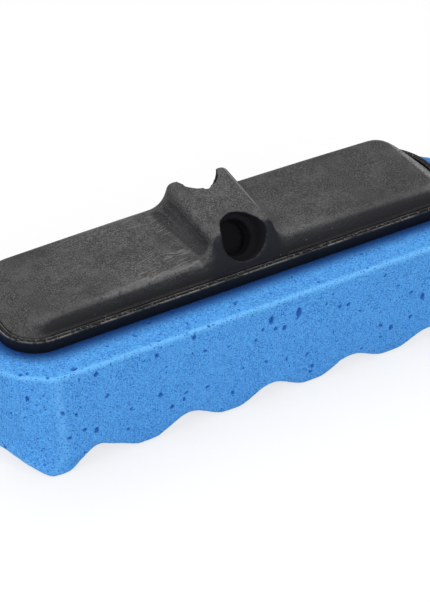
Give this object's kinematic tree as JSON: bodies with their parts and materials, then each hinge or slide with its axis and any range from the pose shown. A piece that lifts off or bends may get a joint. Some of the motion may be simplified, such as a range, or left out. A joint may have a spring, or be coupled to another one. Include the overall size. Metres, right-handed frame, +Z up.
{
  "type": "sponge brush",
  "caption": "Sponge brush head: a foam block with a waved underside, glued to a rimmed plastic back whose hub has slanted sockets for a screw-in handle.",
  "frame": {"origin": "on the floor under the middle of the sponge, at the level of the lowest wave crests", "axes": "+X along the sponge's length, +Z up from the waved underside to the plastic back, and +Y to the side of the hub's high end"},
  "size_m": [0.285, 0.095, 0.0906],
  "materials": {
    "blue_foam": "open-cell foam, matt",
    "clear_glue": "satin",
    "black_tray_plastic": "moulded, satin sides and speckled edge",
    "black_cap_plastic": "moulded, fine grain, lightly scuffed",
    "zinc_plated_steel": "zinc plated"
  },
  "bodies": {
    "root": {"sponge_block": "blue_foam", "glue_sheet": "clear_glue", "base_tray": "black_tray_plastic", "cap_with_hub": "black_cap_plastic", "tray_screw_1": "zinc_plated_steel", "tray_screw_2": "zinc_plated_steel", "tray_screw_3": "zinc_plated_steel", "tray_screw_4": "zinc_plated_steel", "tray_screw_5": "zinc_plated_steel", "tray_screw_6": "zinc_plated_steel"}
  },
  "joints": []
}
